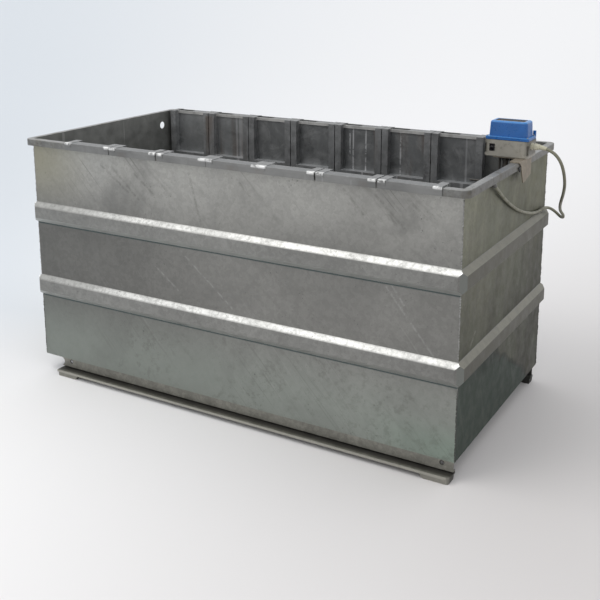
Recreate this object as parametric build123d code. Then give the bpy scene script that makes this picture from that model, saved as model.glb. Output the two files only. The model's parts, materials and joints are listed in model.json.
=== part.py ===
from build123d import *
import math
import os

os.makedirs("parts", exist_ok=True)

# ---------------------------------------------------------------- driving dimensions, mm
# X runs along the tank, Y from the front wall to the back wall, Z up.
# The origin is on the ground under the middle of the tank.
LENGTH = 1600.0
WIDTH = 800.0
SHEET = 2.0
WALL_BOTTOM = 60.0
RIM_TOP = 868.0
FLOOR_SHEET = 3.0

FLANGE = 21.0
LIP_HEIGHT = 22.5
RIM_CORNER_RADIUS = 24.0

RIB_BASES = {"lower": 293.0, "upper": 565.0}
RIB_HEIGHT = 75.0
RIB_DEPTH = 17.0
RIB_SLOPE = 17.5
RIB_CORNER_CUT = 21.0
RIB_END_PLUG = 30.0
RIB_BEND = 5.0
RIM_BEND = 3.0

OVERFLOW_RADIUS = 14.5
OVERFLOW_Y = 321.0
OVERFLOW_Z = 813.0

FRAMES_PER_SIDE = 7
FRAME_PITCH = 196.0
FRAME_WIDTH = 193.0
FRONT_ROW_START = -626.0
BACK_ROW_START = -786.0
# How far each frame hangs along the rim from its even place, and how loosely it sits over the lip.
FRONT_SHIFTS = (0.0, 0.0, 4.0, 1.6, -0.8, 0.7, 2.2)
FRONT_HOOK_GAPS = (0.5, 0.5, 1.2, 0.5, 2.5, 1.2, 0.5)
BACK_HOOK_GAP = 0.5
FRAME_SHEET = 2.0
PANEL_GAP = 4.0
STILE_WIDTH = 25.0
STILE_FACE = 35.0
RUNG_TOPS = (700.0, 520.0, 340.0, 160.0)
RUNG_FACE = 22.0
REST_GAP = 0.3
HOOK_SHEET = 2.0
HOOK_BEND = 1.9
STRAP_SHEET = 1.6
STRAP_LIP = 12.0
STRAP_BEND = 4.0
TOP_RAIL_DEPTH = 12.0
HAND_SLOT_START = 20.0
HAND_SLOT_LENGTH = 75.0
HAND_SLOT_WIDTH = 15.0
PLATE_SLOT_WIDTH = 29.0

RAIL_LEFT = -722.0
RAIL_RIGHT = 797.0
RAIL_SHEET = 3.0
RAIL_STEP = 29.0
RAIL_STEP_DEPTH = 12.0
RAIL_FLANGE_TOP = 23.0
RAIL_OVERHANG = 30.0
RAIL_LIP = 5.0
RAIL_FLANGE_WIDTH = 108.0
RAIL_CUT_BACK = 70.0
RAIL_TOP_FLANGE = 60.0
RAIL_NOTCH_RADIUS = 15.0
RAIL_END_RADIUS = 22.0
BACK_RAIL_INSET = 32.0
BEARER_PLACES = (-600.0, 40.0, 680.0)
PAD_HEIGHT = RAIL_FLANGE_TOP - RAIL_SHEET
PAD_LENGTH = 96.0

BOX_X = (694.0, 832.0)
BOX_Y = (60.0, 145.0)
BOX_BOTTOM = 872.0
BOX_SPLIT = 925.0
LID_FLANGE_TOP = 935.0
LID_TOP = 983.0
BOX_WALL = 2.5
GASKET = 1.4
BOARD_Z = 899.0
LID_INSET = 6.5
LID_TAPER = 3.6
WINDOW = (94.0, 42.0)
WINDOW_RECESS = 2.0

SWITCH_X = (711.0, 724.0)
SWITCH_Z = (891.0, 910.0)
SWITCH_PIVOT_Y = 68.5
ROCKER_RADIUS = 11.0
ROCKER_HALF_ANGLE = 33.0
ROCKER_REST = -8.0

HEATER_Y = 92.0
HEATER_TUBES = ((752.0, 8.5), (777.0, 8.5))
HEATER_END = 190.0
PROBE_TUBE = (734.0, 3.5)
PROBE_END = 420.0
BRACKET_SHEET = 3.2
BRACKET_Y = (2.0, 128.0)
# The lower edge of the bracket's outer leg, from its left side to its right side, in (y, z).
BRACKET_FOOT = ((24.0, 856.0), (31.0, 836.0), (50.0, 799.0), (66.0, 799.0), (128.0, 815.0))

GLAND_Y = 95.0
GLAND_Z = 907.0
GLAND_LENGTH = 26.0
LEAD_DIAMETER = 10.0

# The lead leaves the gland, falls in one bow past the back corner, doubles back over
# the upper rib and runs along the end wall to an elbow behind the rim's lip.
LEAD_ROUTE = [
    (879.0, 95.0, 903.0),
    (898.0, 95.0, 895.5),
    (913.0, 98.0, 882.0),
    (926.0, 104.0, 859.0),
    (931.0, 121.0, 825.0),
    (927.0, 155.0, 783.0),
    (910.0, 208.0, 739.0),
    (888.0, 268.0, 698.0),
    (873.0, 320.0, 667.0),
    (868.0, 354.0, 645.0),
    (872.0, 375.0, 630.0),
    (869.0, 391.0, 615.0),
    (855.0, 404.0, 614.0),
    (837.0, 413.0, 626.0),
    (819.0, 402.0, 641.0),
    (808.0, 366.0, 649.0),
    (806.6, 300.0, 648.0),
    (806.6, 220.0, 661.0),
    (806.6, 140.0, 682.0),
    (806.6, 60.0, 709.0),
    (806.8, -15.0, 742.0),
    (807.6, -82.0, 776.0),
    (809.2, -140.0, 810.0),
    (810.0, -178.0, 833.0),
]


# The elbow's corner lies straight on from the lead's last run.
ELBOW_REACH = 0.75
ELBOW = tuple(b + ELBOW_REACH * (b - a) for a, b in zip(*LEAD_ROUTE[-2:]))


# ---------------------------------------------------------------- helpers
def block(x, y, z):
    """A box between two limits on each axis."""
    size = (x[1] - x[0], y[1] - y[0], z[1] - z[0])
    middle = ((x[0] + x[1]) / 2, (y[0] + y[1]) / 2, (z[0] + z[1]) / 2)
    return Pos(*middle) * Box(*size)


def rod(start, end, radius):
    """A round bar between two points."""
    path = Vector(*end) - Vector(*start)
    face = Plane(origin=start, z_dir=path) * Circle(radius)
    return extrude(face, amount=path.length)


def hexagon_bar(start, axis, across_flats, length):
    """A hexagonal bar from a point along an axis."""
    face = Plane(origin=start, z_dir=axis) * RegularPolygon(across_flats / 2, 6, major_radius=False)
    return extrude(face, amount=length)


def outline(points):
    """A flat face from its corner points."""
    return make_face(Polyline(*points, close=True))


def along_x(profile, x0, x1, bend=0.0):
    """Extrudes a profile given in (y, z) points from x0 to x1; bend rounds its outermost corners."""
    face = outline(profile)
    if bend:
        face = fillet(face.vertices().group_by(Axis.X)[0], bend)
    return extrude(Plane.YZ.offset(x0) * face, amount=x1 - x0)


def save(shape, name):
    export_step(shape, f"parts/{name}.step")


# length of the side, distance of its outer face from the middle, turn about Z
SIDES = {
    "front": (LENGTH, WIDTH / 2, 0),
    "right_end": (WIDTH, LENGTH / 2, 90),
    "back": (LENGTH, WIDTH / 2, 180),
    "left_end": (WIDTH, LENGTH / 2, -90),
}


# ---------------------------------------------------------------- tank
def wall(side):
    """One flat wall. The long walls run the full length and the end walls fit between them."""
    length, distance, turn = SIDES[side]
    run = length if turn in (0, 180) else length - 2 * SHEET
    plate = block((-run / 2, run / 2), (-distance, -distance + SHEET), (WALL_BOTTOM, RIM_TOP - SHEET))
    return Rot(0, 0, turn) * plate


def rim(side):
    """The folded rim of one side: a flat flange with a lip turned down, mitred at both corners."""
    length, distance, turn = SIDES[side]
    half = length / 2
    wedge = outline(
        [
            (-half + SHEET, -distance + SHEET),
            (-half - FLANGE, -distance - FLANGE),
            (half + FLANGE, -distance - FLANGE),
            (half - SHEET, -distance + SHEET),
        ]
    )
    outer = RectangleRounded(length + 2 * FLANGE, 2 * (distance + FLANGE), RIM_CORNER_RADIUS)
    inner = RectangleRounded(
        length + 2 * (FLANGE - SHEET), 2 * (distance + FLANGE - SHEET), RIM_CORNER_RADIUS - SHEET
    )
    plate = Pos(0, 0, RIM_TOP - SHEET) * extrude(wedge & outer, amount=SHEET)
    lip = Pos(0, 0, RIM_TOP - LIP_HEIGHT) * extrude(wedge & (outer - inner), amount=LIP_HEIGHT)
    edge = plate + lip
    top = edge.edges().group_by(Axis.Z)[-1]
    straight = top.filter_by(Axis.X).sort_by(Axis.Y)[0]
    edge = fillet(top.filter_by(GeomType.CIRCLE) + [straight], RIM_BEND)
    return Rot(0, 0, turn) * edge


def rib(side, base):
    """A trapezoid channel welded round the tank, plugged, mitred and cut off at the corners."""
    length, distance, turn = SIDES[side]
    half = length / 2
    mitre = RIB_DEPTH - RIB_CORNER_CUT / 2
    face_end = RIB_DEPTH - RIB_CORNER_CUT
    plan = outline(
        [
            (-half, -distance),
            (-half - mitre, -distance - mitre),
            (-half - face_end, -distance - RIB_DEPTH),
            (half + face_end, -distance - RIB_DEPTH),
            (half + mitre, -distance - mitre),
            (half, -distance),
        ]
    )
    body = Pos(0, 0, base) * extrude(plan, amount=RIB_HEIGHT)
    section = [
        (-distance, base),
        (-distance - RIB_DEPTH, base + RIB_SLOPE),
        (-distance - RIB_DEPTH, base + RIB_HEIGHT - RIB_SLOPE),
        (-distance, base + RIB_HEIGHT),
    ]
    inside = RIB_DEPTH - SHEET
    hollow = [
        (-distance, base + 1.4 * SHEET),
        (-distance - inside, base + RIB_SLOPE + 0.4 * SHEET),
        (-distance - inside, base + RIB_HEIGHT - RIB_SLOPE - 0.4 * SHEET),
        (-distance, base + RIB_HEIGHT - 1.4 * SHEET),
    ]
    body = body & along_x(section, -half - RIB_DEPTH, half + RIB_DEPTH, RIB_BEND)
    body = body - along_x(hollow, -half + RIB_END_PLUG, half - RIB_END_PLUG)
    return Rot(0, 0, turn) * body


def overflow_hole():
    start = (-LENGTH / 2 - SHEET, OVERFLOW_Y, OVERFLOW_Z)
    end = (-LENGTH / 2 + 3 * SHEET, OVERFLOW_Y, OVERFLOW_Z)
    return rod(start, end, OVERFLOW_RADIUS)


def corner_welds():
    """A fillet weld up each inside corner."""
    leg = 5.0
    x = LENGTH / 2 - SHEET
    y = WIDTH / 2 - SHEET
    beads = []
    for sx in (-1, 1):
        for sy in (-1, 1):
            foot = outline([(sx * x, sy * y), (sx * (x - leg), sy * y), (sx * x, sy * (y - leg))])
            bead = extrude(foot, amount=RIM_TOP - SHEET - WALL_BOTTOM - FLOOR_SHEET)
            beads.append(Pos(0, 0, WALL_BOTTOM + FLOOR_SHEET) * bead)
    return Compound(beads)


def hand_slot(x0, width):
    """The cutter for one slot in the back rim, or a wider one in the hook plate over it."""
    outer_y = WIDTH / 2 + FLANGE - SHEET - 1.0
    return block(
        (x0 + HAND_SLOT_START, x0 + HAND_SLOT_START + HAND_SLOT_LENGTH),
        (outer_y - width, outer_y),
        (RIM_TOP - 3 * SHEET, RIM_TOP + 3 * SHEET),
    )


# ---------------------------------------------------------------- base
def base_rail(web_y):
    """A bent rail: a top flange, an upright web with a step in it, and a bottom flange.

    The bottom flange also runs inward under the floor bearers, except near the rail's ends.
    """
    outer = web_y - RAIL_OVERHANG
    inner = outer + RAIL_FLANGE_WIDTH
    step = web_y + RAIL_STEP_DEPTH
    profile = [
        (web_y, WALL_BOTTOM),
        (web_y, RAIL_STEP),
        (step, RAIL_STEP),
        (step, RAIL_FLANGE_TOP),
        (outer, RAIL_FLANGE_TOP),
        (outer, PAD_HEIGHT - RAIL_LIP),
        (outer + RAIL_SHEET, PAD_HEIGHT - RAIL_LIP),
        (outer + RAIL_SHEET, RAIL_FLANGE_TOP - RAIL_SHEET),
        (step + RAIL_SHEET, RAIL_FLANGE_TOP - RAIL_SHEET),
        (step + RAIL_SHEET, RAIL_STEP + RAIL_SHEET),
        (web_y + RAIL_SHEET, RAIL_STEP + RAIL_SHEET),
        (web_y + RAIL_SHEET, WALL_BOTTOM - RAIL_SHEET),
        (web_y + RAIL_TOP_FLANGE, WALL_BOTTOM - RAIL_SHEET),
        (web_y + RAIL_TOP_FLANGE, WALL_BOTTOM),
    ]
    rail = along_x(profile, RAIL_LEFT, RAIL_RIGHT)
    seat = (RAIL_LEFT + RAIL_CUT_BACK, RAIL_RIGHT - RAIL_CUT_BACK)
    rail += block(seat, (step, inner), (RAIL_FLANGE_TOP - RAIL_SHEET, RAIL_FLANGE_TOP))
    notch_z = WALL_BOTTOM - RAIL_NOTCH_RADIUS
    notch_x = RAIL_LEFT - 5
    start = (notch_x, web_y - 1, notch_z)
    stop = (notch_x, web_y + RAIL_TOP_FLANGE + 1, notch_z)
    rail -= rod(start, stop, RAIL_NOTCH_RADIUS)
    for hole_x in (RAIL_LEFT + 45, RAIL_RIGHT - 36):
        rail -= rod((hole_x, web_y - 1, 51), (hole_x, web_y + RAIL_SHEET + 1, 51), 5.5)
    return rail - rounded_rail_end(outer)


def rounded_rail_end(outer):
    """The cutter that rounds the outer right corner of a rail's bottom flange."""
    radius = RAIL_END_RADIUS
    centre = (RAIL_RIGHT - radius, outer + radius)
    square = block((centre[0], RAIL_RIGHT + 1), (outer - 1, centre[1]), (0, RAIL_STEP - 1))
    return square - rod((*centre, -1), (*centre, RAIL_STEP), radius)


def rail_pads(web_y):
    """The two pads under the ends of one rail, each with a sloped inner end."""
    inner = web_y + RAIL_STEP_DEPTH + RAIL_SHEET
    outer = web_y - RAIL_OVERHANG + RAIL_SHEET
    pads = []
    for end, inward in ((RAIL_LEFT + 3, 1), (RAIL_RIGHT - 3, -1)):
        profile = [
            (end, PAD_HEIGHT),
            (end + 2 * inward, 0),
            (end + (PAD_LENGTH - 14) * inward, 0),
            (end + PAD_LENGTH * inward, PAD_HEIGHT),
        ]
        face = Plane.XZ.offset(-inner) * outline(profile)
        pads.append(extrude(face, amount=inner - outer) - rounded_rail_end(web_y - RAIL_OVERHANG))
    return pads


def floor_bearers(front_inner, back_inner):
    """Three channels that carry the floor between the rails."""
    bearers = []
    half_width = 30.0
    foot = RAIL_FLANGE_TOP
    for x in BEARER_PLACES:
        channel = block((x - half_width, x + half_width), (front_inner, back_inner), (foot, WALL_BOTTOM))
        cut = half_width - RAIL_SHEET
        gap = block((x - cut, x + cut), (front_inner, back_inner), (foot, WALL_BOTTOM - RAIL_SHEET))
        bearers.append(channel - gap)
    return Compound(bearers)


# ---------------------------------------------------------------- hook-on frames
def hook(x0, x1, inner_y, outer_y, lip_bottom, sheet, bend):
    """A plate over the rim with a lip bent down outside it; sheet is its thickness above the rim's gap."""
    under = RIM_TOP + REST_GAP
    profile = [
        (outer_y - sheet, lip_bottom),
        (outer_y - sheet, under + sheet),
        (inner_y, under + sheet),
        (inner_y, under),
        (outer_y, under),
        (outer_y, lip_bottom),
    ]
    face = outline(profile)
    corner = face.vertices().group_by(Axis.X)[0].sort_by(Axis.Y)[-1]
    return extrude(Plane.YZ.offset(x0) * fillet(corner, bend), amount=x1 - x0)


def hook_frame(x0, hook_gap, with_slot):
    """One lift-out frame of the front row: a backing panel, two stiles, four rungs and a hook plate.

    At each stile a strap runs over the hook plate and a little way down its lip.
    """
    wall_face = -WIDTH / 2 + SHEET
    x1 = x0 + FRAME_WIDTH
    bottom = RUNG_TOPS[-1] - RUNG_FACE
    plate_z = (RIM_TOP + REST_GAP, RIM_TOP + REST_GAP + HOOK_SHEET)
    panel_y = (wall_face + PANEL_GAP, wall_face + PANEL_GAP + FRAME_SHEET)
    face_y = (wall_face + STILE_FACE - FRAME_SHEET, wall_face + STILE_FACE)
    side_y = (panel_y[1], face_y[0])
    outer_y = -WIDTH / 2 - FLANGE - hook_gap
    strapped = HOOK_SHEET + STRAP_SHEET
    strap_end = plate_z[1] - STRAP_LIP

    frame = block((x0, x1), panel_y, (bottom, plate_z[0]))
    for a, b in ((x0, x0 + STILE_WIDTH), (x1 - STILE_WIDTH, x1)):
        frame += block((a, b), face_y, (bottom, plate_z[0]))
        frame += block((a, a + FRAME_SHEET), side_y, (bottom, plate_z[0]))
        frame += block((b - FRAME_SHEET, b), side_y, (bottom, plate_z[0]))
        frame += hook(a, b, face_y[1], outer_y, strap_end, strapped, STRAP_BEND)
    clear = (x0 + STILE_WIDTH, x1 - STILE_WIDTH)
    for top in RUNG_TOPS:
        frame += block(clear, (side_y[0], face_y[1]), (top - FRAME_SHEET, top))
        frame += block(clear, face_y, (top - RUNG_FACE, top))
    rail_y = wall_face + TOP_RAIL_DEPTH
    frame += block(clear, (wall_face - SHEET, rail_y), plate_z)
    frame += block(clear, (rail_y - FRAME_SHEET, rail_y), (plate_z[0] - 10, plate_z[0]))
    frame += hook(x0, x1, wall_face - SHEET, outer_y, RIM_TOP - LIP_HEIGHT, HOOK_SHEET, HOOK_BEND)
    if with_slot:
        frame -= mirror(hand_slot(x0, PLATE_SLOT_WIDTH), about=Plane.XZ)
    return frame


# ---------------------------------------------------------------- control unit
def box_base():
    """The lower half of the control box, open at the top, with a well at each corner."""
    top = BOX_SPLIT - GASKET / 2
    shell = block(BOX_X, BOX_Y, (BOX_BOTTOM, top))
    shell = fillet(shell.edges().filter_by(Axis.Z), 6)
    shell = fillet(shell.faces().sort_by(Axis.Z)[0].edges(), 2)
    w = BOX_WALL
    hollow = block(
        (BOX_X[0] + w, BOX_X[1] - w), (BOX_Y[0] + w, BOX_Y[1] - w), (BOX_BOTTOM + w, top)
    )
    shell -= hollow
    reach = 13.0
    for x, sx in ((BOX_X[0], 1), (BOX_X[1], -1)):
        for y, sy in ((BOX_Y[0], 1), (BOX_Y[1], -1)):
            xs = sorted((x + sx * 0.5, x + sx * reach))
            ys = sorted((y + sy * 0.5, y + sy * reach))
            shell += block(xs, ys, (BOX_BOTTOM + 4, top))
            centre = (x + sx * 4.5, y + sy * 4.5)
            shell -= rod((*centre, BOX_BOTTOM + 10), (*centre, top - 12), 4.6)
            mouth_x = sorted((x - sx, x + sx * 4.5))
            mouth_y = sorted((y - sy, y + sy * 4.5))
            shell -= block(mouth_x, mouth_y, (BOX_BOTTOM + 10, top - 12))
            post = (x + sx * (reach + 8), y + sy * (reach + 12))
            shell += rod((*post, BOX_BOTTOM + w), (*post, BOARD_Z), 3)
    shell -= block(SWITCH_X, (BOX_Y[0] - 1, BOX_Y[0] + 5), SWITCH_Z)
    shell -= rod((BOX_X[1] - 5, GLAND_Y, GLAND_Z), (BOX_X[1] + 5, GLAND_Y, GLAND_Z), 8)
    return shell


def box_lid():
    """The blue upper half: a flange with two lugs at the back and a tapered, hollow hood."""
    middle = ((BOX_X[0] + BOX_X[1]) / 2, (BOX_Y[0] + BOX_Y[1]) / 2)
    size = (BOX_X[1] - BOX_X[0], BOX_Y[1] - BOX_Y[0])
    foot = BOX_SPLIT + GASKET / 2
    flange = Pos(*middle, foot) * extrude(RectangleRounded(*size, 6), amount=LID_FLANGE_TOP - foot)
    flange = fillet(flange.faces().sort_by(Axis.Z)[-1].edges(), 2)
    hood_size = (size[0] - 2 * LID_INSET, size[1] - 2 * LID_INSET)
    height = LID_TOP - foot
    hood = extrude(RectangleRounded(*hood_size, 14), amount=height, taper=LID_TAPER)
    hood = fillet(hood.faces().sort_by(Axis.Z)[-1].edges(), 7)
    lid = flange + Pos(*middle, foot) * hood
    cavity = RectangleRounded(hood_size[0] - 2 * BOX_WALL, hood_size[1] - 2 * BOX_WALL, 12)
    lid -= Pos(*middle, foot) * extrude(cavity, amount=height - 4.5, taper=LID_TAPER)
    lid -= Pos(*middle, LID_TOP - WINDOW_RECESS) * extrude(RectangleRounded(*WINDOW, 5), amount=5)
    for x in (BOX_X[0] + 5, BOX_X[1] - 5):
        lug = block((x - 4.5, x + 4.5), (BOX_Y[1] - 9, BOX_Y[1] - 1), (foot + 3, LID_FLANGE_TOP + 15))
        lid += fillet(lug.edges().filter_by(Axis.Z), 1.5)
    for x, y in lid_screw_places():
        lid -= rod((x, y, foot - 1), (x, y, LID_FLANGE_TOP + 1), 1.8)
    return lid


def lid_screw_places():
    """The four screws, two in front of the hood's corners and two in front of the lugs."""
    for x in (BOX_X[0] + 5, BOX_X[1] - 5):
        for y in (BOX_Y[0] + 5, BOX_Y[1] - 13.2):
            yield x, y


def lid_screws():
    screws = []
    for x, y in lid_screw_places():
        head = rod((x, y, LID_FLANGE_TOP + 0.2), (x, y, LID_FLANGE_TOP + 2.6), 2.8)
        head = fillet(head.edges().group_by(Axis.Z)[-1], 1)
        slot = block((x - 0.5, x + 0.5), (y - 2.6, y + 2.6), (LID_FLANGE_TOP + 1.6, LID_FLANGE_TOP + 3))
        shank = rod((x, y, BOX_SPLIT + 1), (x, y, LID_FLANGE_TOP + 0.2), 1.6)
        screws.append(head + shank - slot)
    return Compound(screws)


def lid_window():
    middle = ((BOX_X[0] + BOX_X[1]) / 2, (BOX_Y[0] + BOX_Y[1]) / 2)
    plate = extrude(RectangleRounded(WINDOW[0] - 0.6, WINDOW[1] - 0.6, 4.7), amount=1.5)
    return Pos(*middle, LID_TOP - WINDOW_RECESS) * plate


def lid_gasket():
    middle = ((BOX_X[0] + BOX_X[1]) / 2, (BOX_Y[0] + BOX_Y[1]) / 2)
    size = (BOX_X[1] - BOX_X[0] - 1.0, BOX_Y[1] - BOX_Y[0] - 1.0)
    ring = RectangleRounded(*size, 5.5) - RectangleRounded(size[0] - 6, size[1] - 6, 2.5)
    return Pos(*middle, BOX_SPLIT - GASKET / 2) * extrude(ring, amount=GASKET)


def switch_body():
    """The bezel and housing of the rocker switch, set in the box's front wall."""
    x0, x1 = SWITCH_X
    z0, z1 = SWITCH_Z
    face = BOX_Y[0]
    body = block((x0 + 0.1, x1 - 0.1), (face - 1.5, face + 16), (z0 + 0.1, z1 - 0.1))
    bezel = block((x0 - 2, x1 + 2), (face - 1.6, face - 0.1), (z0 - 2, z1 + 2))
    body += fillet(bezel.edges().filter_by(Axis.Y), 1.2)
    return body - block((x0 + 1.4, x1 - 1.4), (face - 3, face + 14), (z0 + 1, z1 - 1))


def rocker():
    """The rocker: a sector that turns about a cross axis inside the housing."""
    x0 = SWITCH_X[0] + 1.8
    x1 = SWITCH_X[1] - 1.8
    pivot_z = (SWITCH_Z[0] + SWITCH_Z[1]) / 2
    rim_points = []
    for angle in (-ROCKER_HALF_ANGLE, 0, ROCKER_HALF_ANGLE):
        a = math.radians(angle + ROCKER_REST)
        y = SWITCH_PIVOT_Y - ROCKER_RADIUS * math.cos(a)
        rim_points.append((y, pivot_z + ROCKER_RADIUS * math.sin(a)))
    hub = (SWITCH_PIVOT_Y + 2, pivot_z)
    edge = ThreePointArc(*rim_points) + Polyline(rim_points[-1], hub, rim_points[0])
    face = Plane.YZ.offset(x0) * make_face(edge)
    return extrude(face, amount=x1 - x0)


def circuit_board():
    board = block((BOX_X[0] + 17, BOX_X[1] - 17), (BOX_Y[0] + 18, BOX_Y[1] - 5), (BOARD_Z, BOARD_Z + 1.6))
    for i, (w, d) in enumerate(((9, 9), (6, 12), (12, 6))):
        x = BOX_X[0] + 40 + 20 * i
        board += block((x, x + w), (BOX_Y[0] + 24, BOX_Y[0] + 24 + d), (BOARD_Z + 1.6, BOARD_Z + 4))
    return board


def transformer():
    """An encapsulated mains transformer on the board."""
    z = BOARD_Z + 1.6
    core = block((725, 757), (108, 135), (z, z + 24))
    return fillet(core.edges().filter_by(Axis.Z), 1.5)


def power_relay():
    z = BOARD_Z + 1.6
    case = block((764, 792), (118, 131), (z, z + 16))
    return chamfer(case.faces().sort_by(Axis.Z)[-1].edges(), 0.8)


def terminal_block():
    """A three-way screw terminal next to the gland."""
    z = BOARD_Z + 1.6
    housing = block((799, 811), (80, 112), (z, z + 13))
    for i in range(3):
        y = 85.5 + 10.5 * i
        housing -= rod((805, y, z + 6), (805, y, z + 14), 2.6)
        housing -= block((798, 803), (y - 3, y + 3), (z + 1.5, z + 5.5))
    return housing


def rim_bracket():
    """A saddle that hangs over the end rim and carries the control box."""
    t = BRACKET_SHEET
    seat_z = (RIM_TOP + REST_GAP, BOX_BOTTOM - 0.2)
    inner_x = LENGTH / 2 - SHEET - 1.0
    outer_x = LENGTH / 2 + FLANGE + 0.5
    y = BRACKET_Y
    saddle = block((inner_x - t, outer_x + t), y, seat_z)
    saddle += block((720, inner_x), (64, 126), seat_z)
    leg = [(y[0], seat_z[1]), *BRACKET_FOOT, (y[1], seat_z[1])]
    saddle += along_x(leg, outer_x, outer_x + t)
    saddle += block((inner_x - t, inner_x), (55, y[1]), (828, seat_z[1]))
    for tube_x, tube_r in HEATER_TUBES + (PROBE_TUBE,):
        saddle -= rod((tube_x, HEATER_Y, 860), (tube_x, HEATER_Y, 880), tube_r + 0.4)
    return saddle


def clamp_screws():
    """Two screws through the saddle's inner leg that press on the end wall."""
    inner_x = LENGTH / 2 - SHEET - 1.0
    screws = []
    for y in (62.0, 123.0):
        head = hexagon_bar((inner_x - BRACKET_SHEET - 0.2, y, 838), (-1, 0, 0), 10, 5)
        screws.append(head)
    return Compound(screws)


def heater_tubes():
    """Two sheathed immersion elements with round ends and a collar under the seat."""
    tubes = []
    for x, radius in HEATER_TUBES:
        tube = rod((x, HEATER_Y, HEATER_END), (x, HEATER_Y, BOX_BOTTOM - 0.3), radius)
        tube += Pos(x, HEATER_Y, HEATER_END) * Sphere(radius)
        tube += rod((x, HEATER_Y, 856), (x, HEATER_Y, RIM_TOP), radius + 3)
        tubes.append(tube)
    return Compound(tubes)


def thermostat_probe():
    x, radius = PROBE_TUBE
    tube = rod((x, HEATER_Y, PROBE_END), (x, HEATER_Y, BOX_BOTTOM - 0.3), radius)
    tube += Pos(x, HEATER_Y, PROBE_END) * Sphere(radius)
    return tube + rod((x, HEATER_Y, 860), (x, HEATER_Y, RIM_TOP), radius + 2)


# ---------------------------------------------------------------- lead and its fittings
def gland_body():
    x = BOX_X[1]
    body = hexagon_bar((x + 0.1, GLAND_Y, GLAND_Z), (1, 0, 0), 20, 5)
    body += rod((x - 4, GLAND_Y, GLAND_Z), (x + 0.2, GLAND_Y, GLAND_Z), 7.8)
    body += rod((x + 5, GLAND_Y, GLAND_Z), (x + 10, GLAND_Y, GLAND_Z), 8)
    return body - rod((x - 6, GLAND_Y, GLAND_Z), (x + 12, GLAND_Y, GLAND_Z), 5.4)


def gland_nut():
    x = BOX_X[1] + 10
    nut = hexagon_bar((x, GLAND_Y, GLAND_Z), (1, 0, 0), 19, 8)
    end_x = BOX_X[1] + GLAND_LENGTH
    dome = rod((x + 8, GLAND_Y, GLAND_Z), (end_x, GLAND_Y, GLAND_Z), 9)
    nut += fillet(dome.edges().group_by(Axis.X)[-1], 3.2)
    return nut - rod((x - 1, GLAND_Y, GLAND_Z), (end_x + 1, GLAND_Y, GLAND_Z), 5.6)


def strain_relief():
    """A tapered rubber sleeve that droops out of the gland nut and ends where the lead begins."""
    mouth_x = BOX_X[1] + GLAND_LENGTH + 0.3
    mouth = Plane(origin=(mouth_x, GLAND_Y, GLAND_Z), z_dir=(1, 0, 0))
    droop = Vector(*LEAD_ROUTE[1]) - Vector(*LEAD_ROUTE[0])
    end = Plane(origin=LEAD_ROUTE[0], z_dir=droop)
    tail = loft([mouth * Circle(7.6), end * Circle(LEAD_DIAMETER / 2 + 0.8)])
    stem = rod((mouth_x - 14, GLAND_Y, GLAND_Z), (mouth_x + 1, GLAND_Y, GLAND_Z), 5.5)
    return stem + tail


def supply_lead():
    """The lead as one round tube: straight runs joined by arcs as large as the runs allow."""
    points = [Vector(*p) for p in LEAD_ROUTE]
    radii = []
    for before, here, after in zip(points, points[1:], points[2:]):
        run = min((here - before).length, (after - here).length)
        turn = math.radians((here - before).get_angle(after - here))
        radii.append(0.45 * run / math.tan(turn / 2))
    path = FilletPolyline(*points, radius=radii)
    section = Plane(origin=points[0], z_dir=points[1] - points[0]) * Circle(LEAD_DIAMETER / 2)
    tube = sweep(section, path=path)
    expected = math.pi * LEAD_DIAMETER**2 / 4 * path.length
    print("lead length", round(path.length), "volume ratio", round(tube.volume / expected, 4))
    print("radii", [round(r) for r in radii])
    return tube


def wall_elbow():
    """A right-angle entry fixed behind the rim's lip; the lead comes into it from below."""
    centre = Vector(*ELBOW)
    end = Vector(*LEAD_ROUTE[-1])
    body = Pos(*ELBOW) * Sphere(7.8)
    body += rod(end, centre, 7.4)
    body += rod((LENGTH / 2 - 8, ELBOW[1], ELBOW[2]), ELBOW, 6.0)
    return body + rod((LENGTH / 2 + 0.2, ELBOW[1], ELBOW[2]), (LENGTH / 2 + 3, ELBOW[1], ELBOW[2]), 8.5)


def elbow_nut():
    x = LENGTH / 2 - SHEET - 0.2
    nut = hexagon_bar((x, ELBOW[1], ELBOW[2]), (-1, 0, 0), 19, 5)
    return nut - rod((x + 1, ELBOW[1], ELBOW[2]), (x - 7, ELBOW[1], ELBOW[2]), 6.1)


def level_probe():
    """A short sensing stem on the inner end of the elbow."""
    x0 = LENGTH / 2 - 8
    x1 = x0 - 46
    stem = rod((x0, ELBOW[1], ELBOW[2]), (x1, ELBOW[1], ELBOW[2]), 3)
    return stem + Pos(x1, ELBOW[1], ELBOW[2]) * Sphere(3)


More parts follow.
